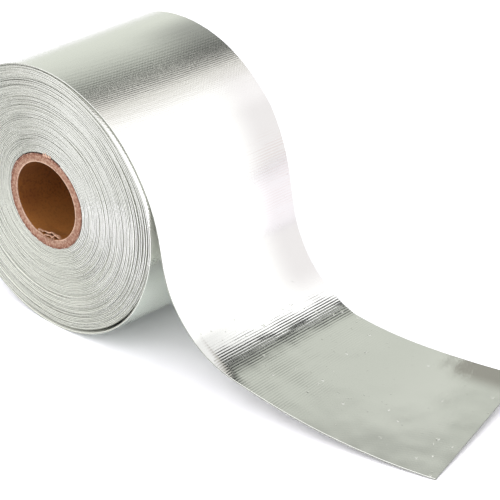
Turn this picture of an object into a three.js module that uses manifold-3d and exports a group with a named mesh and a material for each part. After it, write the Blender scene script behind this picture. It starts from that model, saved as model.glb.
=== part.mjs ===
// A roll of reflective heat tape on its cardboard core. The roll lies on its side with its axis
// along Y, and the free end of the strip drops off it towards +X and runs out on the floor.
import * as THREE from "three";
import { mergeVertices } from "three/addons/utils/BufferGeometryUtils.js";
import Module from "manifold-3d";

// Tape: width, thickness of one layer, and mean radius of the wound roll.
const TAPE_WIDTH = 50.8;
const TAPE_THICKNESS = 0.45;
const ROLL_RADIUS = 38.7;

// Cardboard core.
const CORE_BORE_RADIUS = 11.3;
const CORE_WALL = 2.4;
const CORE_EDGE_EASE = 0.3;
const CORE_TO_TAPE_GAP = 0.3;

// The soft roll settles under its own weight: wider than it is high by the square of this.
const SETTLE = 1.036;

// The core sits off the middle of the roll, towards the side away from the free end and low.
const CORE_OFF_X = -0.75;
const CORE_OFF_Z = -0.8;

// Turns shown on the ends of the roll.
const END_BANDS = 9;
const GROOVE_WIDTH = 0.5;
const GROOVE_DEPTH = 0.45;

// Free end. Angles are in degrees, the slopes below level and the first one from the top.
const LEAVE_ANGLE = 38.5;
const SHOULDER_BEND_RADIUS = 49.5;
const DROP_SLOPE = 75;
const FOOT_BEND_RADIUS = 34.5;
const RUN_OUT_START_SLOPE = 14.5;
const RUN_OUT_END_SLOPE = 2.5;
const RUN_OUT_LENGTH = 60.5;
const SIDE_TURN = 16.4;
const DROP_TWIST = 4.6;
const TWIST_START_SHARE = 0.08;
const TWIST_END_SHARE = 0.77;

// The start of the free end lies inside the outermost turn, so that the two are one piece.
const ROOT_LENGTH = 7;
const ROOT_SINK = 0.6;

const ROLL_SEGMENTS = 72;
const CORE_SEGMENTS = 60;
const STRIP_STEP = 3.6;
const STRIP_LANES = 2;

const rad = THREE.MathUtils.degToRad;
const coreOuterRadius = CORE_BORE_RADIUS + CORE_WALL;
const tapeBoreRadius = coreOuterRadius + CORE_TO_TAPE_GAP;
const halfWidth = TAPE_WIDTH / 2;
const rollHalfLength = ROLL_RADIUS * SETTLE;
const rollHalfHeight = ROLL_RADIUS / SETTLE;
const axisHeight = rollHalfHeight * Math.cos(Math.PI / ROLL_SEGMENTS);

// Share of the core's offset that a turn has: all of it at the core and none at the outside.
function offCentreShare(radius) {
  return Math.min(1, (ROLL_RADIUS - radius) / (ROLL_RADIUS - tapeBoreRadius));
}

// A lathe solid about Y with a facet at the bottom, settled and raised to the roll's axis.
function turned(profile, segments) {
  const geometry = new THREE.LatheGeometry(profile, segments);
  geometry.rotateY(Math.PI / segments);
  const points = geometry.attributes.position;
  for (let i = 0; i < points.count; i += 1) {
    const x = points.getX(i);
    const z = points.getZ(i);
    const share = offCentreShare(Math.hypot(x, z));
    points.setX(i, x * SETTLE + share * CORE_OFF_X);
    points.setZ(i, z / SETTLE + share * CORE_OFF_Z + axisHeight);
  }
  return geometry;
}

// One end of the wound roll from the bore outwards: flat bands with a groove between each two.
function endFace(side) {
  const band = (ROLL_RADIUS - tapeBoreRadius) / END_BANDS;
  const points = [];
  for (let i = 0; i < END_BANDS; i += 1) {
    const inner = tapeBoreRadius + i * band;
    points.push(new THREE.Vector2(inner, side * halfWidth));
    if (i === END_BANDS - 1) {
      points.push(new THREE.Vector2(inner + band, side * halfWidth));
      continue;
    }
    points.push(new THREE.Vector2(inner + band - GROOVE_WIDTH, side * halfWidth));
    points.push(new THREE.Vector2(inner + band - GROOVE_WIDTH / 2, side * (halfWidth - GROOVE_DEPTH)));
  }
  return points;
}

function rollGeometry() {
  const profile = [...endFace(-1), ...endFace(1).reverse()];
  profile.push(profile[0].clone());
  return turned(profile, ROLL_SEGMENTS);
}

function coreGeometry() {
  const ease = CORE_EDGE_EASE;
  const profile = [
    new THREE.Vector2(CORE_BORE_RADIUS, -halfWidth + ease),
    new THREE.Vector2(CORE_BORE_RADIUS + ease, -halfWidth),
    new THREE.Vector2(coreOuterRadius - ease, -halfWidth),
    new THREE.Vector2(coreOuterRadius, -halfWidth + ease),
    new THREE.Vector2(coreOuterRadius, halfWidth - ease),
    new THREE.Vector2(coreOuterRadius - ease, halfWidth),
    new THREE.Vector2(CORE_BORE_RADIUS + ease, halfWidth),
    new THREE.Vector2(CORE_BORE_RADIUS, halfWidth - ease),
  ];
  profile.push(profile[0].clone());
  return turned(profile, CORE_SEGMENTS);
}

// Where the strip leaves the roll, and its slope there.
const leaveX = rollHalfLength * Math.sin(rad(LEAVE_ANGLE));
const leaveZ = axisHeight + rollHalfHeight * Math.cos(rad(LEAVE_ANGLE));
const leaveSlope = Math.atan(Math.tan(rad(LEAVE_ANGLE)) * rollHalfHeight / rollHalfLength);

// Lengths of the strip's stretches. The straight drop takes what height the others leave.
function stretches() {
  const drop = rad(DROP_SLOPE);
  const runStart = rad(RUN_OUT_START_SLOPE);
  const runEnd = rad(RUN_OUT_END_SLOPE);
  const shoulderFall = SHOULDER_BEND_RADIUS * (Math.cos(leaveSlope) - Math.cos(drop));
  const footFall = FOOT_BEND_RADIUS * (Math.cos(runStart) - Math.cos(drop));
  const runFall = RUN_OUT_LENGTH * (Math.cos(runEnd) - Math.cos(runStart)) / (runStart - runEnd);
  const straightFall = leaveZ - TAPE_THICKNESS - shoulderFall - footFall - runFall;
  return [
    { length: SHOULDER_BEND_RADIUS * (drop - leaveSlope), from: leaveSlope, to: drop },
    { length: straightFall / Math.sin(drop), from: drop, to: drop },
    { length: FOOT_BEND_RADIUS * (drop - runStart), from: drop, to: runStart },
    { length: RUN_OUT_LENGTH, from: runStart, to: runEnd },
  ];
}

const strip = stretches();
const stripLength = strip.reduce((sum, part) => sum + part.length, 0);
const turnStart = strip[0].length + strip[1].length;

function slopeAt(s) {
  let start = 0;
  for (const part of strip) {
    if (s <= start + part.length) {
      return part.from + (part.to - part.from) * (s - start) / part.length;
    }
    start += part.length;
  }
  return strip[strip.length - 1].to;
}

// The strip also turns sideways, steadily from the start of the lower bend to its end.
function headingAt(s) {
  const share = Math.max(0, (s - turnStart) / (stripLength - turnStart));
  return rad(SIDE_TURN) * share;
}

// The far edge lags on the way down and lies a little high at the end.
function twistAt(s) {
  const past = Math.max(0, s / stripLength - TWIST_START_SHARE);
  return -rad(DROP_TWIST) * Math.sin(Math.PI * past / (TWIST_END_SHARE - TWIST_START_SHARE));
}

// Frames down the near edge of the strip's outer face: point, run, across and outward.
function stripFrames() {
  const count = Math.ceil(stripLength / STRIP_STEP);
  const step = stripLength / count;
  const point = new THREE.Vector3(leaveX, -halfWidth, leaveZ);
  const frames = [];
  for (let i = 0; i <= count; i += 1) {
    const s = i * step;
    frames.push({ ...frameAt(s), point: point.clone() });
    point.addScaledVector(frameAt(s + step / 2).run, step);
  }
  return frames;
}

function frameAt(s) {
  const slope = slopeAt(s);
  const heading = headingAt(s);
  const run = new THREE.Vector3(
    Math.cos(slope) * Math.cos(heading), Math.sin(heading), -Math.sin(slope) * Math.cos(heading));
  const outward = new THREE.Vector3(Math.sin(slope), 0, Math.cos(slope));
  const across = outward.clone().cross(run).normalize();
  across.applyAxisAngle(run, twistAt(s));
  return { run, across, outward: run.clone().cross(across).normalize() };
}

// The sunk root follows the roll back from where the strip leaves it.
function rootFrame(length, sink) {
  const angle = rad(LEAVE_ANGLE) - length / ROLL_RADIUS;
  const outward = new THREE.Vector3(
    Math.sin(angle) / rollHalfLength, 0, Math.cos(angle) / rollHalfHeight).normalize();
  const point = new THREE.Vector3(
    rollHalfLength * Math.sin(angle), -halfWidth, axisHeight + rollHalfHeight * Math.cos(angle));
  point.addScaledVector(outward, -sink);
  const across = new THREE.Vector3(0, 1, 0);
  return { point, outward, across };
}

// A flat bar of grid cells bent along the frames: X along the strip, Y across it, Z its thickness.
function stripGeometry() {
  const frames = [
    rootFrame(ROOT_LENGTH, ROOT_SINK),
    rootFrame(ROOT_LENGTH / 2, ROOT_SINK),
    ...stripFrames(),
  ];
  const cells = frames.length - 1;
  const geometry = new THREE.BoxGeometry(cells, 1, 1, cells, STRIP_LANES, 1);
  const position = geometry.attributes.position;
  for (let i = 0; i < position.count; i += 1) {
    const frame = frames[Math.round(position.getX(i) + cells / 2)];
    const lane = position.getY(i) + 0.5;
    const depth = position.getZ(i) - 0.5;
    const vertex = frame.point.clone();
    vertex.addScaledVector(frame.across, lane * TAPE_WIDTH);
    vertex.addScaledVector(frame.outward, depth * TAPE_THICKNESS);
    position.setXYZ(i, vertex.x, vertex.y, vertex.z);
  }
  return geometry;
}

const wasm = await Module();
wasm.setup();

function toSolid(geometry) {
  const bare = geometry.clone();
  bare.deleteAttribute("normal");
  bare.deleteAttribute("uv");
  const merged = mergeVertices(bare, 1e-4);
  return new wasm.Manifold(new wasm.Mesh({
    numProp: 3,
    vertProperties: new Float32Array(merged.attributes.position.array),
    triVerts: new Uint32Array(merged.index.array),
  }));
}

function toGeometry(solid) {
  const mesh = solid.getMesh();
  const geometry = new THREE.BufferGeometry();
  geometry.setAttribute("position", new THREE.BufferAttribute(mesh.vertProperties, mesh.numProp));
  geometry.setIndex(new THREE.BufferAttribute(mesh.triVerts, 1));
  geometry.computeVertexNormals();
  return geometry;
}

function named(name, geometry, material) {
  const mesh = new THREE.Mesh(geometry, material);
  mesh.name = name;
  return mesh;
}

const foil = new THREE.MeshStandardMaterial({ color: 0xc9ccc6, metalness: 0.9, roughness: 0.35 });
const cardboard = new THREE.MeshStandardMaterial({ color: 0xb59a80, metalness: 0, roughness: 0.9 });

const tapeSolid = toSolid(rollGeometry()).add(toSolid(stripGeometry()));

const heatTape = new THREE.Group();
heatTape.add(named("tape", toGeometry(tapeSolid), foil));
heatTape.add(named("cardboard_core", coreGeometry(), cardboard));

// The origin is the middle of the foot of the whole object's box.
const bounds = new THREE.Box3().setFromObject(heatTape);
const middle = bounds.getCenter(new THREE.Vector3());
heatTape.position.set(-middle.x, -middle.y, -bounds.min.z);

export default heatTape;
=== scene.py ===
"""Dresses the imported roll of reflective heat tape: the strip wound turn by turn, and its cardboard core."""
import math

import bmesh
import bpy
from mathutils import Matrix, Vector, noise


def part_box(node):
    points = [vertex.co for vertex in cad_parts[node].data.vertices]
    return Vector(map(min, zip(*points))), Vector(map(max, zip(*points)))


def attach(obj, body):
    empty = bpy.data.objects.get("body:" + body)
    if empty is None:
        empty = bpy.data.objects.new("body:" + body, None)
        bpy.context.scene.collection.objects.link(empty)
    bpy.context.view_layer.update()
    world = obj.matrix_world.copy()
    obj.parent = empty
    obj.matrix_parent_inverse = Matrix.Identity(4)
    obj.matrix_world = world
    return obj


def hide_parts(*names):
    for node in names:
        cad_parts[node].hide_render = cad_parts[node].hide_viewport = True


bl_info = {
    "name": "Heat tape roll",
    "version": (1, 0, 0),
    "blender": (4, 5, 0),
    "location": "3D View > Sidebar > Heat Tape",
    "description": "Builds the wound strip of foil tape, its cardboard core and a pale studio",
    "category": "Object",
}

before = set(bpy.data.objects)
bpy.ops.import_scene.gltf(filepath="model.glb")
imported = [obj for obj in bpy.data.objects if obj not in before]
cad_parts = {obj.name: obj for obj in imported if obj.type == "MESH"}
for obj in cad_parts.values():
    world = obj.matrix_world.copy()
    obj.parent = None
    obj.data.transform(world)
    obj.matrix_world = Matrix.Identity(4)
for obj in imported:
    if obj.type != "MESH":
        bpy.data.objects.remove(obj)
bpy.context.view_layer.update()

MM = 0.001
TURN = 2 * math.pi

# The roll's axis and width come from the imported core, which sits off the middle of the roll.
CORE_LOW, CORE_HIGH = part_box("cardboard_core")
CORE_OFF_X = -0.75 * MM
CORE_OFF_Z = -0.8 * MM
CORE_X = (CORE_LOW[0] + CORE_HIGH[0]) / 2
CORE_Z = (CORE_LOW[2] + CORE_HIGH[2]) / 2
AXIS_X = CORE_X - CORE_OFF_X
AXIS_Z = CORE_Z - CORE_OFF_Z
FRONT_Y = CORE_LOW[1]
MIDDLE_Y = (CORE_LOW[1] + CORE_HIGH[1]) / 2
TAPE_WIDTH = CORE_HIGH[1] - CORE_LOW[1]
SETTLE = math.sqrt((CORE_HIGH[0] - CORE_LOW[0]) / (CORE_HIGH[2] - CORE_LOW[2]))
CORE_RADIUS = (CORE_HIGH[0] - CORE_LOW[0]) / 2 / SETTLE

# The free end follows the same route as the solid's.
ROLL_RADIUS = 38.7 * MM
LEAVE_ANGLE = math.radians(38.5)
SHOULDER_BEND_RADIUS = 49.5 * MM
DROP_SLOPE = math.radians(75)
FOOT_BEND_RADIUS = 34.5 * MM
RUN_OUT_START_SLOPE = math.radians(14.5)
RUN_OUT_END_SLOPE = math.radians(2.5)
RUN_OUT_LENGTH = 60.5 * MM
SIDE_TURN = math.radians(16.4)
DROP_TWIST = math.radians(4.6)
TWIST_START_SHARE = 0.08
TWIST_END_SHARE = 0.77
ROUTE_STEP = 1.1 * MM

# The swept section: how many faces wide it is on the hidden turns and on the outer ones, how many turns
# count as outer, and its rounded edges. Faces further than FACE_SHARE of the thickness from its middle
# are the tape's two sides, and the others its cut edges.
HIDDEN_FACES = 2
OUTER_FACES = 36
OUTER_TURNS = 1.1
CORNER_EASE = 0.08 * MM
EDGE_CROWN = 0.03 * MM
EDGE_ZONE = 0.5 * MM
FACE_SHARE = 0.34
SHARP_EDGE = math.radians(30)

# The winding. The first turns of EVEN_TURNS lie even on the core. Other places are turns before the point
# where the strip leaves, and a span has a (low, high) pair over which it sets in and one over which it
# ends. RADIUS_SPREAD counts in pitches and the wanders in edge wanders. INNER_WANDER is the share of them
# at the core, and HANGING_SHARE that of the loose gap where the last turn hangs.
STEPS_PER_TURN = 84
WINDING_SEED = 4.0
EVEN_TURNS = (0, 3)
RADIUS_SPREAD = 1.4
LOOSE_TURN = ((0.0, 0.3), (0.9, 1.0))
HANGING = ((0.5, 0.71), (0.73, 0.9))
HANGING_SHARE = 0.85
BAND_WANDER = 4.2
SINGLE_WANDER = 2.0
INNER_WANDER = 0.35
WANDER_END = (0.0, 0.6)
BELOW_STRIP = ((0.66, 0.88), (1.0, 1.2))
BELOW_STRIP_INSET = 1.3

# The bow grows with the square of the share of a turn below where the strip leaves, and ends over
# BOW_END. Across the strip it swings from outwards at the near lanes to inwards at the far ones.
BOWED = ((0.5, 0.65), (1.0, 14.0))
BOW_GROWTH = 155 * MM
BOW_END = (0.117, 0.222)
BOW_LANES = (-22 * MM, 6 * MM)
BOW_SWING = 1.25

# Where the free end is shaped, in millimetres past the point where it leaves the roll, and the scales
# of its noise, per metre.
CURLED = ((38, 50), (62, 82))
STEPPED_BACK = ((-16, 6), (24, 42))
DENTED = (0, 35)
DENTS_ON_ROLL = 0.15
WAVE_SCALE = 90.0
DENT_SCALE = 420.0
FRAY_SCALE = 1500.0
FRAY_DEPTH = 0.12 * MM

# The photograph's camera, fitted to the outlines of the roll and the strip.
PHOTO_SIDE = 500
FOCAL_PIXELS = 3000
CAMERA_AZIMUTH = math.radians(45.58)
CAMERA_ELEVATION = math.radians(27.10)
CAMERA_DISTANCE = 0.7412
CAMERA_AIM_RIGHT = 0.07664
CAMERA_AIM_HEIGHT = 0.0502
SENSOR_WIDTH = 36
CLIP_START = 0.01
CLIP_END = 100


def length_property(name, description, default):
    """A length, shown fine enough for a thin tape."""
    return bpy.props.FloatProperty(
        name=name, description=description, default=default, min=0, precision=5, unit="LENGTH")


def angle_property(name, description, default):
    return bpy.props.FloatProperty(name=name, description=description, default=default, subtype="ANGLE")


def colour_property(name, description, default):
    return bpy.props.FloatVectorProperty(
        name=name, description=description, default=default, size=3, subtype="COLOR")


class TapeSizes(bpy.types.PropertyGroup):
    """Sizes of the wound strip."""

    thickness: length_property("Thickness", "Thickness of one layer of tape", 0.41 * MM)
    pitch: length_property("Turn pitch", "Growth of the radius in one turn", 0.455 * MM)
    core_gap: length_property("Core gap", "Gap between the core and the first turn", 0.02 * MM)
    edge_wander: length_property(
        "Edge wander", "How far a turn stands in or out at the ends of the roll", 0.28 * MM)
    loose_gap: length_property("Loose gap", "Gap under the last turn at the foot of the roll", 0.7 * MM)
    bulge: length_property(
        "Bulge", "How far the turns bow out on the right, below where the strip leaves", 1.35 * MM)
    edge_inset: length_property(
        "Edge inset", "How far the near edge steps back where the strip leaves the roll", 0.6 * MM)
    edge_curl: length_property("Edge curl", "How far the near edge bends down on the drop", 0.5 * MM)
    dent_depth: length_property("Dent depth", "Depth of the dents and waves in the free end", 0.22 * MM)


class CoreSizes(bpy.types.PropertyGroup):
    """Sizes of the cardboard core and of the tear in it."""

    wall: length_property("Wall", "Thickness of the tube's wall", 2.4 * MM)
    plies: bpy.props.IntProperty(name="Plies", description="Layers of paper in the wall", default=6, min=1)
    strip_width: length_property("Paper width", "Width of the paper that winds round the bore", 62 * MM)
    tear_start: angle_property(
        "Tear start", "Where the torn paper starts, as an angle from the top", math.radians(157))
    tear_end: angle_property(
        "Tear end", "Where the torn paper ends, as an angle from the top", math.radians(203))
    tear_lift: length_property("Tear lift", "How far the torn paper stands off the bore", 1.7 * MM)
    tear_length: length_property("Tear length", "How far the torn paper reaches into the bore", 5 * MM)


class Finishes(bpy.types.PropertyGroup):
    """Main colours of the tape, the bore and the floor."""

    foil: colour_property("Foil", "Aluminium face of the tape", (0.90, 0.905, 0.88))
    cloth: colour_property("Cloth", "Cut edge of the glass cloth", (0.225, 0.234, 0.202))
    backing: colour_property("Backing", "Adhesive side of the tape", (0.55, 0.56, 0.50))
    bore: colour_property("Bore", "Kraft paper inside the core", (0.15, 0.047, 0.008))
    floor: colour_property("Floor", "Pale floor", (0.87, 0.86, 0.90))


def math_method(operation):
    """A method that runs a maths node on a field and its other operands."""
    return lambda field, *others: field.math(operation, *others)


class Field:
    """A node socket that takes arithmetic, in a shader or in Geometry Nodes."""

    def __init__(self, tree, socket):
        self.tree = tree
        self.socket = socket

    def math(self, operation, *others):
        return self.tree.add("ShaderNodeMath", {"operation": operation}, self, *others)

    def __rsub__(self, other):
        return self.tree.add("ShaderNodeMath", {"operation": "SUBTRACT"}, other, self)

    __add__ = math_method("ADD")
    __radd__ = math_method("ADD")
    __sub__ = math_method("SUBTRACT")
    __mul__ = math_method("MULTIPLY")
    __truediv__ = math_method("DIVIDE")
    __pow__ = math_method("POWER")
    __gt__ = math_method("GREATER_THAN")
    __lt__ = math_method("LESS_THAN")
    sin = math_method("SINE")
    cos = math_method("COSINE")
    absolute = math_method("ABSOLUTE")
    floor = math_method("FLOOR")
    at_least = math_method("MAXIMUM")
    at_most = math_method("MINIMUM")

    def ramp(self, low, high):
        """0 below low, 1 above high and smooth between them."""
        settings = {"interpolation_type": "SMOOTHSTEP"}
        return self.tree.add("ShaderNodeMapRange", settings, self, low, high, 0, 1)

    def span(self, rise, fall):
        """0 below rise, 1 from rise to fall and 0 above it; both are (low, high) pairs."""
        return self.ramp(*rise) * (1.0 - self.ramp(*fall))

    def part(self, index):
        """One component of a vector."""
        node = self.tree.add_node("ShaderNodeSeparateXYZ", {}, self)
        return Field(self.tree, node.outputs[index])


class Tree:
    """Adds nodes to a node tree."""

    def __init__(self, tree):
        self.tree = tree

    def add_node(self, kind, settings, *values, **named):
        node = self.tree.nodes.new(kind)
        for name, setting in settings.items():
            setattr(node, name, setting)
        for index, value in enumerate(values):
            self.feed(node.inputs[index], value)
        for name, value in named.items():
            self.feed(node.inputs[name.replace("_", " ")], value)
        return node

    def feed(self, socket, value):
        if value is None:
            return
        if isinstance(value, Field):
            self.tree.links.new(value.socket, socket)
        elif socket.type == "RGBA" and len(value) == 3:
            socket.default_value = (*value, 1)
        else:
            socket.default_value = value

    def add(self, kind, settings, *values, **named):
        """Adds a node and gives its first output that is in use."""
        node = self.add_node(kind, settings, *values, **named)
        return Field(self, next(socket for socket in node.outputs if socket.enabled))

    def vector(self, x, y, z):
        return self.add("ShaderNodeCombineXYZ", {}, x, y, z)

    def vector_math(self, operation, *values, **named):
        return self.add("ShaderNodeVectorMath", {"operation": operation}, *values, **named)

    def mix(self, share, first, second):
        """Colour between first and second."""
        node = self.add_node("ShaderNodeMix", {"data_type": "RGBA", "clamp_factor": True})
        self.feed(node.inputs[0], share)
        self.feed(node.inputs[6], first)
        self.feed(node.inputs[7], second)
        return Field(self, node.outputs[2])

    def layers(self, base, *layers):
        """Lays (share, colour) layers over the base colour, the last one on top."""
        for share, colour in layers:
            base = self.mix(share, base, colour)
        return base

    def stops(self, value, stops):
        """A colour ramp: (position, colour) pairs, with positions from 0 to 1."""
        node = self.add_node("ShaderNodeValToRGB", {}, value)
        elements = node.color_ramp.elements
        while len(elements) < len(stops):
            elements.new(0.5)
        for element, (position, colour) in zip(elements, stops):
            element.position = position
            element.color = (*colour, 1)
        return Field(self, node.outputs["Color"])

    def noise(self, vector, scale, detail):
        return self.add("ShaderNodeTexNoise", {}, Vector=vector, Scale=scale, Detail=detail)

    def output(self, name, kind, **settings):
        """The output of that name on a new node without inputs."""
        return Field(self, self.add_node(kind, settings).outputs[name])


def slope_at(stretches, s):
    """Angle of the strip below level, s metres from where it leaves the roll."""
    start = 0
    for length, first, last in stretches:
        if s <= start + length:
            return first + (last - first) * (s - start) / length
        start += length
    return stretches[-1][2]


def strip_stretches():
    """(length, first slope, last slope) of each stretch of the free end."""
    leave_slope = math.atan(math.tan(LEAVE_ANGLE) / SETTLE ** 2)
    leave_height = AXIS_Z + ROLL_RADIUS / SETTLE * math.cos(LEAVE_ANGLE)
    run_turn = RUN_OUT_START_SLOPE - RUN_OUT_END_SLOPE
    run_fall = RUN_OUT_LENGTH * (math.cos(RUN_OUT_END_SLOPE) - math.cos(RUN_OUT_START_SLOPE)) / run_turn
    shoulder_fall = SHOULDER_BEND_RADIUS * (math.cos(leave_slope) - math.cos(DROP_SLOPE))
    foot_fall = FOOT_BEND_RADIUS * (math.cos(RUN_OUT_START_SLOPE) - math.cos(DROP_SLOPE))
    thickness = bpy.context.scene.tape_sizes.thickness
    straight_fall = leave_height - thickness - shoulder_fall - foot_fall - run_fall
    return [
        (SHOULDER_BEND_RADIUS * (DROP_SLOPE - leave_slope), leave_slope, DROP_SLOPE),
        (straight_fall / math.sin(DROP_SLOPE), DROP_SLOPE, DROP_SLOPE),
        (FOOT_BEND_RADIUS * (DROP_SLOPE - RUN_OUT_START_SLOPE), DROP_SLOPE, RUN_OUT_START_SLOPE),
        (RUN_OUT_LENGTH, RUN_OUT_START_SLOPE, RUN_OUT_END_SLOPE),
    ]


def strip_frame(stretches, s):
    """Directions along, across and out of the strip, s metres from the roll."""
    length = sum(stretch[0] for stretch in stretches)
    turn_start = stretches[0][0] + stretches[1][0]
    slope = slope_at(stretches, s)
    heading = SIDE_TURN * max(0, (s - turn_start) / (length - turn_start))
    past = max(0, s / length - TWIST_START_SHARE)
    twist = -DROP_TWIST * math.sin(math.pi * past / (TWIST_END_SHARE - TWIST_START_SHARE))
    run = Vector((
        math.cos(slope) * math.cos(heading),
        math.sin(heading),
        -math.sin(slope) * math.cos(heading)))
    outward = Vector((math.sin(slope), 0, math.cos(slope)))
    across = Matrix.Rotation(twist, 3, run) @ outward.cross(run).normalized()
    return run, across, run.cross(across).normalized()


def strip_route():
    """Points down the middle of the free end with their outward directions."""
    stretches = strip_stretches()
    length = sum(stretch[0] for stretch in stretches)
    count = round(length / ROUTE_STEP)
    step = length / count
    half = bpy.context.scene.tape_sizes.thickness / 2
    near = Vector((
        AXIS_X + ROLL_RADIUS * SETTLE * math.sin(LEAVE_ANGLE),
        FRONT_Y,
        AXIS_Z + ROLL_RADIUS / SETTLE * math.cos(LEAVE_ANGLE)))
    points, outwards = [], []
    for index in range(count + 1):
        s = index * step
        _, across, outward = strip_frame(stretches, s)
        points.append(near + across * (TAPE_WIDTH / 2) - outward * half)
        outwards.append(outward)
        near = near + strip_frame(stretches, s + step / 2)[0] * step
    return points, outwards


def added_object(name, data):
    """A new object in the scene."""
    made = bpy.data.objects.new(name, data)
    bpy.context.collection.objects.link(made)
    return made


def line_object(name, points, closed=False, **vectors):
    """A chain of edges with vector attributes."""
    mesh = bpy.data.meshes.new(name)
    edges = [(index, index + 1) for index in range(len(points) - 1)]
    if closed:
        edges.append((len(points) - 1, 0))
    mesh.from_pydata(points, edges, [])
    for attribute, values in vectors.items():
        layer = mesh.attributes.new(attribute, "FLOAT_VECTOR", "POINT")
        for item, value in zip(layer.data, values):
            item.vector = value
    return added_object(name, mesh)


def tape_section(name, lanes):
    """Cross-section of the tape: height in x and lane, turned round, in y, with eased corners."""
    half_width = TAPE_WIDTH / 2
    half_height = bpy.context.scene.tape_sizes.thickness / 2
    flat = half_width - CORNER_EASE
    low = [(-flat + 2 * flat * i / lanes, -half_height) for i in range(lanes + 1)]
    corner_height = half_height - CORNER_EASE
    side = [(half_width, -corner_height), (half_width + EDGE_CROWN, 0), (half_width, corner_height)]
    outline = low + side + [(-x, -y) for x, y in low] + [(-x, -y) for x, y in side]
    return line_object(name, [(height, -lane, 0) for lane, height in outline], closed=True)


def named(tree, name, kind="FLOAT"):
    return tree.add("GeometryNodeInputNamedAttribute", {"data_type": kind}, name)


def stored(tree, geometry, name, value, kind="FLOAT"):
    settings = {"data_type": kind, "domain": "POINT"}
    return tree.add("GeometryNodeStoreNamedAttribute", settings, geometry, None, name, value)


def sampled(tree, geometry, value, index):
    settings = {"data_type": "FLOAT_VECTOR", "domain": "POINT"}
    return tree.add("GeometryNodeSampleIndex", settings, geometry, value, index)


def chosen(tree, test, otherwise, value):
    return tree.add("GeometryNodeSwitch", {"input_type": "VECTOR"}, test, otherwise, value)


def roll_noise(tree, given, angle, to_go, round_rate, turn_rate, scale, shift=0):
    """Smooth noise from -0.5 to 0.5 that changes round the roll and from turn to turn."""
    turn_place = to_go * turn_rate + given["Seed"] + shift
    place = tree.vector(angle.sin() * round_rate, turn_place, angle.cos() * round_rate)
    return tree.noise(place, scale, 1.0) - 0.5


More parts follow.
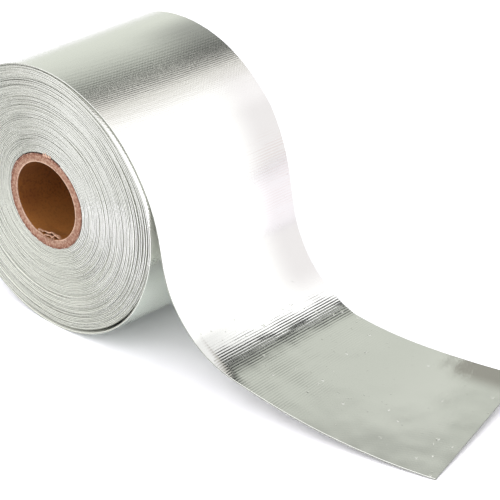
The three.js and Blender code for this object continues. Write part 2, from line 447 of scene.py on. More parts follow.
def winding_tree():
    """Nodes that wind the strip round the core, run it on along the route and sweep its section."""
    group = bpy.data.node_groups.new("strip winding", "GeometryNodeTree")
    sockets = {
        "Geometry": ("Geometry",),
        "Object": ("Section", "Fine Section"),
        "Int": ("Steps per Turn",),
        "Vector": ("Axis", "Core Offset"),
        "Material": ("Foil", "Cloth", "Backing"),
        "Float": (
            "First Radius", "Thickness", "Pitch", "Turns", "Settle", "Leave Angle", "Route Step",
            "Edge Wander", "Loose Gap", "Bulge", "Edge Inset", "Edge Curl", "Dent Depth", "Seed"),
    }
    for kind, names in sockets.items():
        for name in names:
            group.interface.new_socket(name, in_out="INPUT", socket_type="NodeSocket" + kind)
    group.interface.new_socket("Geometry", in_out="OUTPUT", socket_type="NodeSocketGeometry")
    tree = Tree(group)
    source = group.nodes.new("NodeGroupInput")
    given = {socket.name: Field(tree, socket) for socket in source.outputs if socket.name}

    steps = given["Steps per Turn"]
    wound = (given["Turns"] * steps).floor() + 1
    route = tree.add("GeometryNodeAttributeDomainSize", {"component": "MESH"}, given["Geometry"])
    index = tree.add("GeometryNodeInputIndex", {})
    line = tree.add("GeometryNodeMeshLine", {}, wound + route)

    # Turns left to the end of the roll, and the angle from the top at each step.
    to_go = (wound - 1 - index) / steps
    angle = given["Leave Angle"] - to_go * TURN
    spread = roll_noise(tree, given, angle, to_go, 0.5, 0.12, 1.3)
    radius = given["First Radius"] + (given["Turns"] - to_go) * given["Pitch"]
    off_core = (given["Turns"] - to_go).ramp(*EVEN_TURNS)
    radius = radius + spread * given["Pitch"] * RADIUS_SPREAD * (to_go > 1) * off_core

    # The last turn is a little loose all round, and hangs off the roll low on the right.
    loose = to_go.span(*LOOSE_TURN) * (1 - HANGING_SHARE)
    radius = radius + given["Loose Gap"] * (to_go.span(*HANGING) * HANGING_SHARE + loose)

    across = radius * given["Settle"] * angle.sin()
    up = radius / given["Settle"] * angle.cos()
    outside = given["First Radius"] + given["Turns"] * given["Pitch"]
    off_centre = ((outside - radius) / (outside - given["First Radius"])).at_most(1).at_least(0)
    offset = tree.vector_math("SCALE", given["Core Offset"], Scale=off_centre)

    # Bands of turns stand out or in together, and each turn a little on its own.
    band = roll_noise(tree, given, angle, to_go, 0.35, 0.42, 1.4, 7.3)
    single = roll_noise(tree, given, angle, to_go, 0.9, 2.7, 1.6, 3.1)
    wander = band * BAND_WANDER + single * SINGLE_WANDER
    outer_share = radius.ramp(given["First Radius"], outside) * (1 - INNER_WANDER) + INNER_WANDER
    wander = wander * given["Edge Wander"] * outer_share * to_go.ramp(*WANDER_END)
    below_strip = to_go.span(*BELOW_STRIP)
    wander = wander * (1.0 - below_strip) - below_strip * given["Edge Inset"] * BELOW_STRIP_INSET
    turn_point = tree.vector_math("ADD", given["Axis"], tree.vector(across, wander, up))
    turn_point = tree.vector_math("ADD", turn_point, offset)
    turn_outward = tree.vector_math(
        "NORMALIZE", tree.vector(angle.sin() / given["Settle"], 0, angle.cos() * given["Settle"]))

    on_route = index > wound - 0.5
    route_index = (index - wound).at_least(0)
    position = tree.add("GeometryNodeInputPosition", {})
    route_point = sampled(tree, given["Geometry"], position, route_index)
    route_outward = sampled(tree, given["Geometry"], named(tree, "outward", "FLOAT_VECTOR"), route_index)
    line = tree.add(
        "GeometryNodeSetPosition", {}, line, None, chosen(tree, on_route, turn_point, route_point))
    outward = chosen(tree, on_route, turn_outward, route_outward)
    line = stored(tree, line, "outward", outward, "FLOAT_VECTOR")
    line = stored(tree, line, "sunken", wander / given["Edge Wander"])

    # The bow of the turns below where the strip leaves.
    below = (0.0 - to_go).math("FRACT")
    bow = (below * below * BOW_GROWTH).at_most(given["Bulge"]) * (1.0 - below.ramp(*BOW_END))
    line = stored(tree, line, "bow", bow * to_go.span(*BOWED))

    # Distance past the point where the strip leaves the roll, less than nothing on the roll.
    past_leaving = (0.0 - to_go).at_least(0) * steps * given["Route Step"]
    line = stored(tree, line, "free", past_leaving - to_go.at_least(0) * TURN * outside)

    # The hidden turns get a plain section, and the last turn and the free end a fine one.
    fine_from = wound - 1 - (steps * OUTER_TURNS).floor()
    chains = [
        (index < fine_from + 0.5, given["Section"]),
        (index > fine_from - 0.5, given["Fine Section"]),
    ]
    swept = [sweep(tree, line, selection, section) for selection, section in chains]
    joined = tree.add_node("GeometryNodeJoinGeometry", {})
    for part in reversed(swept):
        group.links.new(part.socket, joined.inputs[0])
    tape = Field(tree, joined.outputs[0])
    tape = shaped(tree, tape, given)
    tape = painted(tree, tape, given)
    smooth = tree.add("GeometryNodeSetShadeSmooth", {}, tape, None, True)
    real = tree.add("GeometryNodeRealizeInstances", {}, smooth)
    sink = group.nodes.new("NodeGroupOutput")
    group.links.new(real.socket, sink.inputs[0])
    return group


def sweep(tree, line, selection, section):
    """Sweeps the section along the chosen points of the line, its height along their outward."""
    chain = tree.add("GeometryNodeSeparateGeometry", {"domain": "POINT"}, line, selection)
    curve = tree.add("GeometryNodeMeshToCurve", {}, chain)
    curve = tree.add(
        "GeometryNodeSetCurveNormal", {"mode": "FREE"}, curve, None, named(tree, "outward", "FLOAT_VECTOR"))
    curve = stored(tree, curve, "course", tree.output("Length", "GeometryNodeSplineParameter"))
    info = tree.add_node("GeometryNodeObjectInfo", {}, section)
    outline = tree.add("GeometryNodeMeshToCurve", {}, Field(tree, info.outputs["Geometry"]))
    place = tree.add("GeometryNodeInputPosition", {})
    outline = stored(tree, outline, "height", place.part(0))
    outline = stored(tree, outline, "lane", 0.0 - place.part(1))
    return tree.add("GeometryNodeCurveToMesh", {}, curve, outline, None, True)


def shaped(tree, tape, given):
    """Dents the free end, frays the cut edges, bends the near edge and bows the turns."""
    lane = named(tree, "lane")
    course = named(tree, "course")
    free = named(tree, "free") / MM
    sheet_place = tree.vector(course, lane, given["Seed"])
    waves = tree.noise(sheet_place, WAVE_SCALE, 1.0) - 0.5
    dents = tree.noise(sheet_place, DENT_SCALE, 2.0) - 0.5
    near_edge = lane < EDGE_ZONE - TAPE_WIDTH / 2
    curl = near_edge * free.span(*CURLED) * given["Edge Curl"]
    dented = free.ramp(*DENTED) * (1 - DENTS_ON_ROLL) + DENTS_ON_ROLL
    depth = (waves * 0.9 + dents * 0.25) * given["Dent Depth"] * dented - curl
    depth = depth + named(tree, "bow") * (1.0 - lane.ramp(*BOW_LANES) * BOW_SWING)
    push = tree.vector_math("SCALE", named(tree, "outward", "FLOAT_VECTOR"), Scale=depth)
    at_edge = (lane.absolute() > TAPE_WIDTH / 2 - EDGE_ZONE) * (lane / lane.absolute())
    fray = (tree.noise(sheet_place, FRAY_SCALE, 2.0) - 0.5) * at_edge * FRAY_DEPTH
    inset = near_edge * free.span(*STEPPED_BACK) * given["Edge Inset"]
    offset = tree.vector_math("ADD", push, tree.vector(0, fray + inset, 0))
    return tree.add("GeometryNodeSetPosition", {}, tape, None, None, offset)


def painted(tree, tape, given):
    """Gives the outer face the foil, the inner face the backing and the rest the cloth."""
    height = named(tree, "height")
    edge = given["Thickness"] * FACE_SHARE
    tape = tree.add("GeometryNodeSetMaterial", {}, tape, None, given["Cloth"])
    tape = tree.add("GeometryNodeSetMaterial", {}, tape, height > edge, given["Foil"])
    return tree.add("GeometryNodeSetMaterial", {}, tape, height < 0.0 - edge, given["Backing"])


def geometry_object(name, source, group, values):
    """Runs the node group on the source and gives the result as a plain mesh object."""
    modifier = source.modifiers.new(group.name, "NODES")
    modifier.node_group = group
    for item in group.interface.items_tree:
        if item.in_out == "INPUT" and item.name in values:
            modifier[item.identifier] = values[item.name]
    depsgraph = bpy.context.evaluated_depsgraph_get()
    mesh = bpy.data.meshes.new_from_object(source.evaluated_get(depsgraph), depsgraph=depsgraph)
    for slot in reversed(range(len(mesh.materials))):
        if mesh.materials[slot] is None:
            mesh.materials.pop(index=slot)
    return added_object(name, mesh)


def new_material(name):
    material = bpy.data.materials.new(name)
    material.use_nodes = True
    material.node_tree.nodes.clear()
    return material, Tree(material.node_tree)


def finish_material(tree, settings, base, roughness, height=None, depth=0):
    """Ends a material in a Principled shader, with a bump when there is a height."""
    shader = tree.add_node("ShaderNodeBsdfPrincipled", {})
    for name, value in settings.items():
        shader.inputs[name].default_value = value
    tree.feed(shader.inputs["Base Color"], base)
    tree.feed(shader.inputs["Roughness"], roughness)
    if height is not None:
        bump = tree.add("ShaderNodeBump", {}, Distance=depth, Height=height)
        tree.feed(shader.inputs["Normal"], bump)
    output = tree.tree.nodes.new("ShaderNodeOutputMaterial")
    tree.tree.links.new(shader.outputs[0], output.inputs["Surface"])


def strip_fields(tree):
    """Distances in millimetres: along the strip, across it, through it and past the roll."""
    names = ("course", "lane", "height", "free")
    return [tree.output("Fac", "ShaderNodeAttribute", attribute_name=name) / MM for name in names]


def weave(course, lane, pitch):
    """Height of a plain weave: the threads cross over and under each other."""
    warp = (lane * (math.pi / pitch)).sin()
    weft = (course * (math.pi / pitch)).sin()
    return warp * weft * 0.5 + 0.5


# Looks of the foil along the strip, in millimetres past the point where it leaves the roll, as the
# (low, high) pair over which a look sets in or fades, or as a span of two such pairs.
LAID = (62, 88)
OFF_ROLL = (-8, -3)
CLOTH_FADE = (40, 60)
GRAIN_FADE = (50, 62)
SHINE_RISE = (50, 66)
RIPPLE_FADE = (20, 50)
RIBBED = ((54, 66), (80, 100))
SCUFFED = ((12, 26), (56, 66))
FLECKED = (0, 20)
# The stretches below place painted reflections and painted shade in the foil's colour.
FAR_SIDE = ((-12, 8), (58, 72))
UPRIGHT = ((5, 12), (56, 68))
NEAR_BEND = ((58, 62), (70, 76))
DARK_BAND = ((-30, -20), (-11, -5))
RIB_SHADED = ((14, 22), (34, 46))
SIDE_OF_ROLL = ((-212, -195), (-160, -140))
PALE_END = (95, 120)
DARK_CORNER = (122, 130)

# Lanes of this painted light and shade, in millimetres from the strip's middle, more than 0 on the far side.
FAR_SIDE_LANES = (5, 20)
NEAR_BEND_LANES = (-24, -2)
DARK_BAND_LANES = (0, 22)
RIB_SHADE_LANES = (8, 20)
CORNER_LANES = (14, 21)

ROLL_WEAVE_PITCH = 0.5
RIB_PITCH = 0.76
FOIL_BUMP = 0.05 * MM
FLECK_COLOUR = (0.66, 0.69, 0.62)
SCUFF_COLOUR = (0.62, 0.58, 0.56)
# Painted reflections and painted shade on the foil, one colour for each stretch.
FAR_SIDE_REFLECTION_COLOUR = (0.76, 0.745, 0.74)
UPRIGHT_REFLECTION_COLOUR = (0.57, 0.55, 0.545)
NEAR_BEND_REFLECTION_COLOUR = (0.38, 0.38, 0.37)
DARK_BAND_REFLECTION_COLOUR = (0.42, 0.42, 0.42)
RIB_SHADE_COLOUR = (0.58, 0.50, 0.48)
CORNER_REFLECTION_COLOUR = (0.24, 0.20, 0.175)
PALE_END_REFLECTION_COLOUR = (0.97, 0.97, 0.95)
SIDE_OF_ROLL_REFLECTION_COLOUR = (0.83, 0.90, 0.80)


def foil_material():
    material, tree = new_material("foil face")
    course, lane, _, free = strip_fields(tree)
    place = tree.vector(course, lane, 0.0)

    # Woven grain on the roll, ribs across the lower bend, and a smoother run-out.
    woven = 1.0 - free.ramp(*OFF_ROLL) * 0.6
    cloth = weave(course, lane, ROLL_WEAVE_PITCH) * (1.0 - free.ramp(*CLOTH_FADE) * 0.85) * woven
    grain = tree.noise(place, 3.1, 2.0)
    pebbled = grain * (1.0 - free.ramp(*GRAIN_FADE) * 0.45) * woven
    waver = tree.noise(tree.vector(course * 0.2, lane * 0.12, 0.0), 1.0, 1.0)
    ribs = (course * (TURN / RIB_PITCH) + waver * 1.5).sin()
    patchy = tree.noise(tree.vector(course * 0.4, lane * 0.09, 0.0), 1.0, 1.0).ramp(0.34, 0.56)
    ribbed = (patchy * 0.6 + 0.4) * free.span(*RIBBED)
    ripples = tree.noise(tree.vector(course * 1.3, lane * 0.16, 3.0), 1.0, 1.0)
    ripples = ripples * (1.0 - free.ramp(*RIPPLE_FADE))

    # Scuffs across the drop, and pimples and flat flecks on the run-out.
    scuffs = tree.noise(tree.vector(course * 1.1, lane * 0.14, 9.0), 1.0, 3.0).ramp(0.64, 0.72)
    scuffs = scuffs * free.span(*SCUFFED)
    flecks = tree.noise(place, 0.55, 3.0).ramp(0.68, 0.72) * free.ramp(*FLECKED)
    spots = tree.noise(tree.vector(course, lane, 5.0), 0.42, 1.0).ramp(0.72, 0.78) * free.ramp(*LAID)
    height = cloth * 0.5 + pebbled * 0.4 + ribs * ribbed * 0.24 + ripples * 0.35
    height = height + spots * 2.0 + flecks * 0.5

    # Painted reflections: tints for what the foil mirrors on each stretch, and a dark one near the far
    # corner.
    far_side_reflection = lane.ramp(*FAR_SIDE_LANES) * free.span(*FAR_SIDE)
    # Dark painted reflections at the near side of the lower bend and on the roll before the strip leaves.
    near_bend_reflection = (1.0 - lane.ramp(*NEAR_BEND_LANES)) * free.span(*NEAR_BEND)
    dark_band_reflection = lane.ramp(*DARK_BAND_LANES) * free.span(*DARK_BAND)
    # Painted shade along the ribs on the drop.
    rib_shade = ribs.ramp(0.1, 0.9) * lane.ramp(*RIB_SHADE_LANES) * free.span(*RIB_SHADED)
    # A painted dark reflection near the far corner of the end.
    corner = lane * 0.5 + free + (grain - 0.5) * 26.0 + (waver - 0.5) * 12.0
    corner = corner.ramp(*DARK_CORNER)
    base = tree.layers(
        bpy.context.scene.finishes.foil,
        (flecks * 0.35, FLECK_COLOUR),
        (scuffs * 0.22, SCUFF_COLOUR),
        # Painted reflections of the floor on the far side of the drop.
        (far_side_reflection, FAR_SIDE_REFLECTION_COLOUR),
        (far_side_reflection * free.span(*UPRIGHT) * 0.65, UPRIGHT_REFLECTION_COLOUR),
        (near_bend_reflection * 0.5, NEAR_BEND_REFLECTION_COLOUR),
        (dark_band_reflection * 0.75, DARK_BAND_REFLECTION_COLOUR),
        (rib_shade * patchy * 0.5, RIB_SHADE_COLOUR),
        (corner * lane.ramp(*CORNER_LANES) * 0.6, CORNER_REFLECTION_COLOUR),
        # A paler painted reflection at the end, and a sage painted reflection on the roll's side.
        (free.ramp(*PALE_END) * (1.0 - corner), PALE_END_REFLECTION_COLOUR),
        (free.span(*SIDE_OF_ROLL) * 0.8, SIDE_OF_ROLL_REFLECTION_COLOUR))
    roughness = 0.12 + grain * 0.1 + flecks * 0.12 + scuffs * 0.1 - free.ramp(*SHINE_RISE) * 0.05
    finish_material(tree, {"Metallic": 1.0}, base, roughness, height, FOIL_BUMP)
    return material


# The cut edges: heights above the floor and distances to the side of the axis over which the painted light
# and painted shade change, and, in millimetres, where the adhesive lies in the thickness and where the
# last turn starts, which shows less of it.
CLOTH_TOP = (42 * MM, 72 * MM)
CLOTH_BESIDE = (8 * MM, 32 * MM)
ADHESIVE_HEIGHT = (-0.16, -0.08)
LAST_TURN_START = (-250, -236)
CLOTH_ROUGHNESS = 0.62
CLOTH_BUMP = 0.08 * MM
# Painted shade on turns that stand in and painted light on turns that stand out.
SUNKEN_SHADE_COLOUR = (0.155, 0.157, 0.138)
RAISED_LIGHT_COLOUR = (0.40, 0.395, 0.36)
FIBRE_COLOUR = (0.42, 0.43, 0.385)
YARN_GAP_COLOUR = (0.13, 0.13, 0.115)
# Painted light towards the top of the roll's end and painted shade away from the axis to the sides.
CLOTH_TOP_LIGHT_COLOUR = (0.44, 0.445, 0.405)
CLOTH_BESIDE_SHADE_COLOUR = (0.15, 0.155, 0.138)
ADHESIVE_COLOUR = (0.08, 0.075, 0.062)


def cloth_material():
    material, tree = new_material("cloth edge")
    course, lane, height, free = strip_fields(tree)
    sunken = tree.output("Fac", "ShaderNodeAttribute", attribute_name="sunken")
    place = tree.output("Object", "ShaderNodeTexCoord")
    fibres = tree.noise(tree.vector(course * 0.6, lane, height * 5.0), 1.6, 3.0)
    yarns = tree.noise(tree.vector(course * 1.2, lane, height * 2.0), 1.3, 3.0)
    side_shade = (place.part(0) - AXIS_X).absolute().ramp(*CLOTH_BESIDE)
    adhesive = 1.0 - height.ramp(*ADHESIVE_HEIGHT)
    broken = tree.noise(tree.vector(course * 0.25, lane, 2.0), 1.0, 2.0).ramp(0.4, 0.62)
    on_turns = 1.0 - free.ramp(*LAST_TURN_START) * 0.6
    base = tree.layers(
        bpy.context.scene.finishes.cloth,
        # Painted shade where a turn stands in and painted light where it stands out.
        (sunken.ramp(-0.1, 0.9) * 0.7, SUNKEN_SHADE_COLOUR),
        ((0.0 - sunken).ramp(0.1, 0.9) * 0.5, RAISED_LIGHT_COLOUR),
        (fibres.ramp(0.45, 0.72) * 0.7, FIBRE_COLOUR),
        (yarns.ramp(0.52, 0.68) * 0.6, YARN_GAP_COLOUR),
        # Painted light towards the top and painted shade towards the sides.
        (place.part(2).ramp(*CLOTH_TOP) * 0.4, CLOTH_TOP_LIGHT_COLOUR),
        (side_shade * 0.3, CLOTH_BESIDE_SHADE_COLOUR),
        (adhesive * broken * on_turns * 0.62, ADHESIVE_COLOUR))
    finish_material(tree, {"Specular IOR Level": 0.35}, base, CLOTH_ROUGHNESS, fibres, CLOTH_BUMP)
    return material


BACKING_WEAVE_PITCH = 0.55
BACKING_ROUGHNESS = 0.42
BACKING_BUMP = 0.04 * MM
BACKING_STREAK_COLOUR = (0.66, 0.67, 0.62)


def backing_material():
    material, tree = new_material("adhesive backing")
    course, lane, _, _ = strip_fields(tree)
    cloth = weave(course, lane, BACKING_WEAVE_PITCH)
    streaks = tree.noise(tree.vector(course, lane, 0.0), 0.35, 2.0)
    base = tree.mix(streaks, bpy.context.scene.finishes.backing, BACKING_STREAK_COLOUR)
    finish_material(tree, {"Specular IOR Level": 0.5}, base, BACKING_ROUGHNESS, cloth, BACKING_BUMP)
    return material


class HEATTAPE_OT_tape(bpy.types.Operator):
    """Wind the strip of tape on its core and lay out its free end"""

    bl_idname = "heattape.tape"
    bl_label = "Tape"

    def execute(self, context):
        sizes = context.scene.tape_sizes
        points, outwards = strip_route()
        route = line_object("route", points[1:], outward=outwards[1:])
        section = tape_section("section", HIDDEN_FACES)
        fine_section = tape_section("fine section", OUTER_FACES)
        first = CORE_RADIUS + sizes.core_gap + sizes.thickness / 2
        last = ROLL_RADIUS - sizes.thickness / 2
        values = {
            "Section": section,
            "Fine Section": fine_section,
            "First Radius": first,
            "Turns": (last - first) / sizes.pitch,
            "Steps per Turn": STEPS_PER_TURN,
            "Settle": SETTLE,
            "Leave Angle": LEAVE_ANGLE,
            "Axis": (AXIS_X, MIDDLE_Y, AXIS_Z),
            "Core Offset": (CORE_OFF_X, 0, CORE_OFF_Z),
            "Route Step": ROUTE_STEP,
            "Seed": WINDING_SEED,
            "Foil": foil_material(),
            "Cloth": cloth_material(),
            "Backing": backing_material(),
        }
        for name in TapeSizes.__annotations__:
            values[name.replace("_", " ").title()] = getattr(sizes, name)
        tape = geometry_object("wound_tape", route, winding_tree(), values)
        tape.data.set_sharp_from_angle(angle=SHARP_EDGE)
        for helper in (route, section, fine_section):
            bpy.data.objects.remove(helper)
        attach(tape, "root")
        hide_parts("tape")
        return {"FINISHED"}


# The core's mesh: columns round the tube and along a flap, and rings through the bore.
TUBE_COLUMNS = 220
FLAP_COLUMNS = 44
FLAP_RINGS = 8
CORE_CORNER = 0.4 * MM
BORE_RINGS = (12 * MM, 6.5 * MM, 4.5 * MM, 3 * MM, 1.5 * MM, 0.6 * MM)
PLY_GROOVE = 0.1 * MM
PLY_CORNER = 0.05 * MM
PLY_RECESS = 0.06 * MM
PLY_WAVE = 0.1 * MM
PLY_TILT = 0.03 * MM
BORE_PLY_PROUD = 0.05 * MM
OUTER_PLY_PROUD = 0.1 * MM
OUTER_PLY_SPREAD = 0.2 * MM
OUTER_PLY_WAVE = 0.22 * MM
OUTER_PLY_FRAY = 0.14 * MM
TORN_RECESS = 0.3 * MM
TORN_SHORTENING = 0.35 * MM
CORE_SHARP_EDGE = math.radians(35)

# Torn paper at the foot of the bore: (start, end, lift, seed), the first three as shares of the tear's.
# Its arch leans and fills out by powers of the share along it, and sweeps back to the bore by another.
FLAPS = ((0, 1, 1.0, 40), (0.02, 0.38, 0.75, 47), (0.3, 0.7, 0.4, 54))
FLAP_THICKNESS = 0.2 * MM
FLAP_FRONT = 0.2 * MM
FLAP_NOTCH = 0.9 * MM
FLAP_FRAY = 0.35 * MM
FLAP_LEAN = 0.6
FLAP_FULLNESS = 0.7
FLAP_SWEEP = 1.3
FLAP_CREASE = 0.4
FLAP_CRUMPLE = 0.12

# Fibres at the top of the core's outer edge: degrees from the top, and from root to tip (share of the
# length, half width in millimetres).
BURR_ANGLES = (-2, 0.5, 3, 5.5, 8)
BURR_SHAPE = ((0, 0.4), (0.35, 0.32), (0.7, 0.2), (1, 0.05))
BURR_ROOT = 0.35 * MM
BURR_LENGTH = 1.4 * MM
BURR_LENGTH_RANGE = 0.6 * MM
BURR_START_DEPTH = 0.1 * MM
BURR_RISE = 0.32 * MM
BURR_LEAN = 0.035
BURR_TIP = 0.03 * MM
BURR_TAPER = 0.09 * MM
BURR_SEED = 60


def core_point(angle, radius, depth):
    """A point at an angle from the top and a depth behind the front end, on the settled core."""
    across = radius * SETTLE * math.sin(angle)
    up = radius / SETTLE * math.cos(angle)
    return (CORE_X + across, FRONT_Y + depth, CORE_Z + up)


def lofted(loops, closed):
    """Skins loops of points, round to the first loop or capped at the two ends."""
    count = len(loops[0])
    points = [point for loop in loops for point in loop]
    faces = []
    for row in range(len(loops) if closed else len(loops) - 1):
        here = row * count
        there = (row + 1) % len(loops) * count
        for column in range(count):
            after = (column + 1) % count
            faces.append((here + column, here + after, there + after, there + column))
    if not closed:
        faces.append(tuple(range(count)))
        faces.append(tuple(range(len(points) - count, len(points))))
    return points, faces


def arched(share):
    """0 at the ends of a stretch and 1 in its middle, from a share along it."""
    return math.sin(math.pi * min(1, max(0, share)))


def torn_share(angle):
    """How far the paper is torn at an angle from the top: 0 at the tear's ends and 1 in its middle."""
    sizes = bpy.context.scene.core_sizes
    return arched((angle - sizes.tear_start) / (sizes.tear_end - sizes.tear_start))


def rough(angle, layer, scale):
    """Smooth noise from -1 to 1 round the core."""
    return noise.noise(Vector((math.sin(angle) * scale, math.cos(angle) * scale, layer * 3.7)))


def ply_edges(angle, end):
    """(radius, depth) of the plies' cut edges at one end, from the bore outwards."""
    sizes = bpy.context.scene.core_sizes
    ply = sizes.wall / sizes.plies
    torn = torn_share(angle) * (1 - end)
    points = []
    for layer in range(sizes.plies):
        inner = CORE_RADIUS - sizes.wall + layer * ply
        outer = inner + ply
        depth = PLY_RECESS + PLY_WAVE * rough(angle, layer + end, 6)
        if layer == 0:
            depth = TORN_SHORTENING * torn - BORE_PLY_PROUD
            inner += TORN_RECESS * torn
        if layer == sizes.plies - 1:
            depth -= OUTER_PLY_PROUD
            outer += OUTER_PLY_SPREAD + OUTER_PLY_WAVE * rough(angle, 20 + end, 14)
            outer += OUTER_PLY_FRAY * rough(angle, 30 + end, 45)
        points.append((inner + PLY_CORNER, depth))
        points.append((outer - PLY_CORNER, depth + PLY_TILT * rough(angle, layer, 30)))
        if layer < sizes.plies - 1:
            points.append((outer, depth + PLY_GROOVE))
    return points


def core_section(angle):
    """(radius, depth) round the tube's wall at an angle from the top."""
    sizes = bpy.context.scene.core_sizes
    bore = CORE_RADIUS - sizes.wall
    front = ply_edges(angle, 0)
    back = [(radius, TAPE_WIDTH - depth) for radius, depth in reversed(ply_edges(angle, 1))]
    outside = [(CORE_RADIUS, CORE_CORNER), (CORE_RADIUS, TAPE_WIDTH - CORE_CORNER)]
    inside = []
    for depth in (TAPE_WIDTH - CORE_CORNER, *BORE_RINGS):
        recess = TORN_RECESS * torn_share(angle) * max(0, 1 - depth / sizes.tear_length)
        inside.append((bore + recess, depth))
    return front + outside + back + inside


def flap_section(angle, along, lift, layer):
    """(radius, depth) round a piece of torn paper that stands off the bore, at a share along it."""
    sizes = bpy.context.scene.core_sizes
    bore = CORE_RADIUS - sizes.wall
    share = arched(along ** FLAP_LEAN) ** FLAP_FULLNESS
    front = FLAP_FRONT + FLAP_NOTCH * abs(rough(angle, layer, 9)) + FLAP_FRAY * rough(angle, layer + 1, 40)
    upper, lower = [], []
    for ring in range(FLAP_RINGS):
        reach = ring / (FLAP_RINGS - 1)
        depth = front + (sizes.tear_length - front) * reach
        crease = 1 + FLAP_CREASE * rough(angle, layer + 2 + reach * 0.3, 8)
        crease += FLAP_CRUMPLE * rough(angle, layer + reach, 30)
        radius = bore - lift * share * (1 - reach) ** FLAP_SWEEP * crease + FLAP_THICKNESS / 2
        upper.append((radius - FLAP_THICKNESS / 2, depth))
        lower.append((radius + FLAP_THICKNESS / 2, depth))
    return upper + lower[::-1]


def flap_loops(first, last, lift, layer):
    """Loops along a piece of torn paper from the first to the last share of the tear."""
    sizes = bpy.context.scene.core_sizes
    tear = sizes.tear_end - sizes.tear_start
    loops = []
    for column in range(FLAP_COLUMNS + 1):
        along = column / FLAP_COLUMNS
        angle = sizes.tear_start + tear * (first + (last - first) * along)
        section = flap_section(angle, along, sizes.tear_lift * lift, layer)
        loops.append([core_point(angle, radius, depth) for radius, depth in section])
    return loops


def burr_loops(angle, layer):
    """Loops of one torn fibre at the outer edge of the core's front end."""
    loops = []
    for reach, half in BURR_SHAPE:
        length = BURR_LENGTH + BURR_LENGTH_RANGE * rough(angle, layer, 50)
        radius = CORE_RADIUS - BURR_ROOT + reach * length
        depth = BURR_START_DEPTH - BURR_RISE * reach
        middle = angle + reach * BURR_LEAN * (1 + rough(angle, layer + 1, 50))
        turn = half * MM / CORE_RADIUS
        thick = BURR_TIP + BURR_TAPER * (1 - reach)
        loops.append([
            core_point(middle - turn, radius, depth), core_point(middle, radius, depth - thick),
            core_point(middle + turn, radius, depth), core_point(middle, radius, depth + thick)])
    return loops


def core_mesh():
    """The tube of plies, the paper torn off its bore and the fibres at its outer edge."""
    tube = []
    for column in range(TUBE_COLUMNS):
        angle = TURN * column / TUBE_COLUMNS
        tube.append([core_point(angle, radius, depth) for radius, depth in core_section(angle)])
    skins = [(lofted(tube, True), 0.0)]
    for flap in FLAPS:
        skins.append((lofted(flap_loops(*flap), False), 1.0))
    for index, degrees in enumerate(BURR_ANGLES):
        skins.append((lofted(burr_loops(math.radians(degrees), BURR_SEED + index), False), 1.0))
    points, faces, torn = [], [], []
    for (skin_points, skin_faces), share in skins:
        faces += [tuple(len(points) + corner for corner in face) for face in skin_faces]
        points += skin_points
        torn += [share] * len(skin_points)
    mesh = bpy.data.meshes.new("core")
    mesh.from_pydata(points, [], faces)
    layer = mesh.attributes.new("torn", "FLOAT", "POINT")
    layer.data.foreach_set("value", torn)
    work = bmesh.new()
    work.from_mesh(mesh)
    bmesh.ops.recalc_face_normals(work, faces=work.faces)
    work.to_mesh(mesh)
    work.free()
    return mesh


# The core's cut end from the bore outwards, pale, pinkish and then redder: (share of the wall, colour).
WALL_BANDS = (
    (0.0, (0.56, 0.41, 0.32)), (0.10, (0.46, 0.30, 0.22)), (0.18, (0.25, 0.145, 0.10)),
    (0.55, (0.29, 0.165, 0.115)), (0.80, (0.25, 0.125, 0.082)), (0.93, (0.14, 0.055, 0.036)),
    (1.0, (0.10, 0.04, 0.028)))
PALE_FIBRE_COLOUR = (0.42, 0.28, 0.21)
DARK_FIBRE_COLOUR = (0.20, 0.085, 0.055)
TORN_COLOUR = (0.58, 0.38, 0.28)

# The bore's brown paper, with painted light deep inside and along its foot.
BORE_BLOTCH_COLOUR = (0.18, 0.06, 0.01)
BORE_DEEP_LIGHT_COLOUR = (0.34, 0.115, 0.02)
BORE_FIBRE_COLOUR = (0.07, 0.02, 0.004)
BORE_FOOT_LIGHT_COLOUR = (0.28, 0.115, 0.028)
SEAM_COLOUR = (0.10, 0.04, 0.012)
BORE_DEEP = (3 * MM, 30 * MM)

# How far from the bore's wall and from the front end its paper shows, as it is and under the tear.
BORE_SKIN = (0.03 * MM, 0.12 * MM)
BORE_SKIN_DEPTH = (0.05 * MM, 0.3 * MM)
POCKET_SKIN = (0.3 * MM, 0.5 * MM)
POCKET_SKIN_DEPTH = (0.4 * MM, 0.7 * MM)
RAGGED_DEPTH = (0.3 * MM, 1.5 * MM)
BOARD_ROUGHNESS = 0.8
BOARD_BUMP = 0.07 * MM


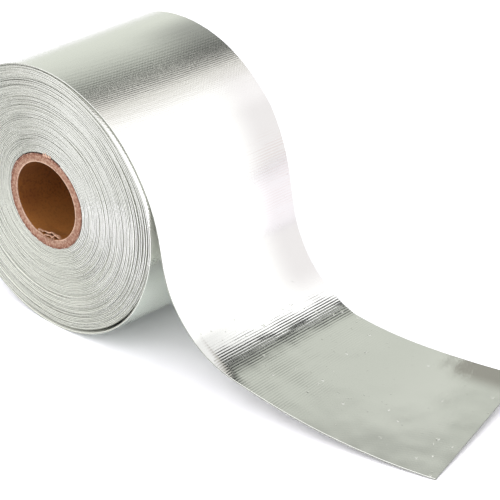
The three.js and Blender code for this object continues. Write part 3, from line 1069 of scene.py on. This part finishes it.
def board_material():
    sizes = bpy.context.scene.core_sizes
    material, tree = new_material("kraft board")
    place = tree.output("Object", "ShaderNodeTexCoord")
    centred = tree.vector_math("SUBTRACT", place, (CORE_X, FRONT_Y, CORE_Z))
    x = centred.part(0) / SETTLE
    depth = centred.part(1)
    z = centred.part(2) * SETTLE
    radius = (x * x + z * z) ** 0.5
    angle = x.math("ARCTAN2", z)
    fibres = tree.noise(place, 1500.0, 3.0)
    blotches = tree.noise(place, 190.0, 2.0)
    bore = CORE_RADIUS - sizes.wall

    across = (radius - bore) / sizes.wall
    end = tree.layers(
        tree.stops(across + (blotches - 0.5) * 0.12, WALL_BANDS),
        (fibres.ramp(0.5, 0.62) * 0.6, PALE_FIBRE_COLOUR),
        ((1.0 - fibres.ramp(0.38, 0.5)) * 0.55, DARK_FIBRE_COLOUR))

    # The paper winds round the bore in a spiral with a thin dark seam.
    spiral = (depth / sizes.strip_width + angle / TURN) * TURN
    seam = spiral.sin().ramp(0.985, 0.999)
    foot = (0.0 - z / bore).ramp(0.3, 1.0)
    inside = tree.layers(
        bpy.context.scene.finishes.bore,
        (blotches.ramp(0.3, 0.75), BORE_BLOTCH_COLOUR),
        # Painted light deep inside the bore and along its foot.
        (depth.ramp(*BORE_DEEP) * 0.8, BORE_DEEP_LIGHT_COLOUR),
        (fibres.ramp(0.5, 0.62) * 0.4, BORE_FIBRE_COLOUR),
        (foot * 0.45, BORE_FOOT_LIGHT_COLOUR),
        (seam * 0.4, SEAM_COLOUR))
    off_wall = radius - bore
    in_bore = (1.0 - off_wall.ramp(*BORE_SKIN)) * depth.ramp(*BORE_SKIN_DEPTH)
    in_pocket = (1.0 - off_wall.ramp(*POCKET_SKIN)) * depth.ramp(*POCKET_SKIN_DEPTH)
    base = tree.mix(in_pocket.at_least(in_bore), end, inside)

    # Torn paper is pale and fluffy at its edge.
    torn = tree.output("Fac", "ShaderNodeAttribute", attribute_name="torn")
    ragged = torn * (1.0 - depth.ramp(*RAGGED_DEPTH))
    base = tree.mix(ragged * (fibres * 0.8 + 0.4), base, TORN_COLOUR)
    finish_material(tree, {"Specular IOR Level": 0.25}, base, BOARD_ROUGHNESS, fibres, BOARD_BUMP)
    return material


class HEATTAPE_OT_core(bpy.types.Operator):
    """Make the cardboard core with its torn edge"""

    bl_idname = "heattape.core"
    bl_label = "Cardboard core"

    def execute(self, context):
        core = added_object("board_core", core_mesh())
        core.data.materials.append(board_material())
        core.data.shade_smooth()
        core.data.set_sharp_from_angle(angle=CORE_SHARP_EDGE)
        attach(core, "root")
        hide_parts("cardboard_core")
        return {"FINISHED"}


# The lamps, which aim at the middle of the floor: (name, place, size, power in watts).
LAMPS = (
    ("key", (0.1, -0.9, 0.8), (1.2, 0.8), 6),
    ("overhead", (-0.05, -0.15, 1.6), (2.0, 2.0), 17.5))
FLOOR_REACH = 6.0


def area_light(name, place, size, power):
    """A white lamp that lights surfaces without showing in the foil."""
    light = bpy.data.lights.new(name, "AREA")
    light.shape = "RECTANGLE"
    light.size, light.size_y = size
    light.energy = power
    lamp = added_object(name, light)
    lamp.location = place
    lamp.rotation_euler = (-Vector(place)).to_track_quat("-Z", "Y").to_euler()
    lamp.visible_glossy = False


# The room that the foil mirrors. On the left are sage walls that darken upwards: (height, light).
WALL_STOPS = (
    (0.20, 0.80), (0.42, 0.78), (0.56, 0.64), (0.632, 0.67),
    (0.655, 0.57), (0.69, 0.40), (0.72, 0.34), (0.76, 0.27))
WALL_TINT = (0.965, 1.0, 0.91)

# On the right is a white sheet with a warm edge: (how far to the right, light).
SHEET_STOPS = (
    (-0.07, (0.58, 0.56, 0.52)), (-0.01, (0.77, 0.76, 0.71)), (0.15, (0.84, 0.81, 0.77)),
    (0.20, (1.12, 1.10, 1.10)), (0.60, (1.35, 1.35, 1.35)))
SHEET_EDGE = (-0.105, -0.07)
SHEET_BACK = (0.65, 0.70)

# The dark gap between them leans with the direction's y, and is darker towards the back.
GAP_SHADE = 0.88
GAP_SHADE_BACK = 0.985
GAP_LEAN = 1.1
GAP_LEAN_FROM = 0.623
GAP_EDGE = (-0.29, -0.17)
GAP_COLOUR = (0.0, 0.0, 0.005)


def studio_world():
    """A pale room: sage walls to the left and a white sheet to the right, with a dark gap between."""
    world = bpy.data.worlds.new("studio")
    world.use_nodes = True
    world.node_tree.nodes.clear()
    tree = Tree(world.node_tree)
    direction = tree.output("Generated", "ShaderNodeTexCoord")
    back = direction.part(1)
    side = direction.part(0) - (back - GAP_LEAN_FROM) * GAP_LEAN
    sage = [(up, tuple(light * tint for tint in WALL_TINT)) for up, light in WALL_STOPS]
    walls = tree.stops(direction.part(2), sage)
    shade = back.ramp(*SHEET_BACK) * (GAP_SHADE_BACK - GAP_SHADE) + GAP_SHADE
    walls = tree.mix(side.ramp(*GAP_EDGE) * shade, walls, GAP_COLOUR)
    sheet = tree.stops(side * 0.5 + 0.5, [((right + 1) / 2, colour) for right, colour in SHEET_STOPS])
    sheet = tree.mix(back.ramp(*SHEET_BACK), sheet, SHEET_STOPS[-1][1])
    colour = tree.mix(side.ramp(*SHEET_EDGE), walls, sheet)
    shader = tree.add_node("ShaderNodeBackground", {}, colour, 1.0)
    output = world.node_tree.nodes.new("ShaderNodeOutputWorld")
    world.node_tree.links.new(shader.outputs[0], output.inputs["Surface"])
    bpy.context.scene.world = world


def photo_camera():
    camera = bpy.data.cameras.new("photo camera")
    camera.sensor_width = SENSOR_WIDTH
    camera.lens = FOCAL_PIXELS / PHOTO_SIDE * SENSOR_WIDTH
    camera.clip_start = CLIP_START
    camera.clip_end = CLIP_END
    body = added_object("photo camera", camera)
    aim = Vector((AXIS_X + CAMERA_AIM_RIGHT, FRONT_Y, CAMERA_AIM_HEIGHT))
    back = Vector((
        math.sin(CAMERA_AZIMUTH) * math.cos(CAMERA_ELEVATION),
        -math.cos(CAMERA_AZIMUTH) * math.cos(CAMERA_ELEVATION),
        math.sin(CAMERA_ELEVATION)))
    body.location = aim + back * CAMERA_DISTANCE
    body.rotation_euler = (-back).to_track_quat("-Z", "Y").to_euler()
    bpy.context.scene.camera = body


class HEATTAPE_OT_stage(bpy.types.Operator):
    """Set the pale floor, the soft studio light and the photograph's camera"""

    bl_idname = "heattape.stage"
    bl_label = "Stage"

    def execute(self, context):
        mesh = bpy.data.meshes.new("floor")
        corners = [(x * FLOOR_REACH, y * FLOOR_REACH, 0) for x, y in ((-1, -1), (1, -1), (1, 1), (-1, 1))]
        mesh.from_pydata(corners, [], [(0, 1, 2, 3)])
        floor = added_object("floor", mesh)
        material, tree = new_material("pale floor")
        finish_material(tree, {"Specular IOR Level": 0.0}, context.scene.finishes.floor, 1.0)
        mesh.materials.append(material)
        for lamp in LAMPS:
            area_light(*lamp)
        studio_world()
        photo_camera()
        context.scene.view_settings.view_transform = "Standard"
        return {"FINISHED"}


class HEATTAPE_PT_panel(bpy.types.Panel):
    """Lists the parts of the roll in the sidebar"""

    bl_idname = "HEATTAPE_PT_panel"
    bl_label = "Heat tape roll"
    bl_space_type = "VIEW_3D"
    bl_region_type = "UI"
    bl_category = "Heat Tape"

    def draw(self, context):
        for group in (context.scene.tape_sizes, context.scene.core_sizes, context.scene.finishes):
            for name in group.__annotations__:
                self.layout.prop(group, name)
        for operator in OPERATORS:
            self.layout.operator(operator.bl_idname)


GROUPS = {"tape_sizes": TapeSizes, "core_sizes": CoreSizes, "finishes": Finishes}
OPERATORS = (HEATTAPE_OT_tape, HEATTAPE_OT_core, HEATTAPE_OT_stage)
CLASSES = (*GROUPS.values(), *OPERATORS, HEATTAPE_PT_panel)


def register():
    for cls in CLASSES:
        bpy.utils.register_class(cls)
    for name, group in GROUPS.items():
        setattr(bpy.types.Scene, name, bpy.props.PointerProperty(type=group))


def unregister():
    for name in GROUPS:
        delattr(bpy.types.Scene, name)
    for cls in reversed(CLASSES):
        bpy.utils.unregister_class(cls)


def main():
    register()
    bpy.ops.heattape.tape()
    bpy.ops.heattape.core()
    bpy.ops.heattape.stage()


if __name__ == "__main__":
    main()
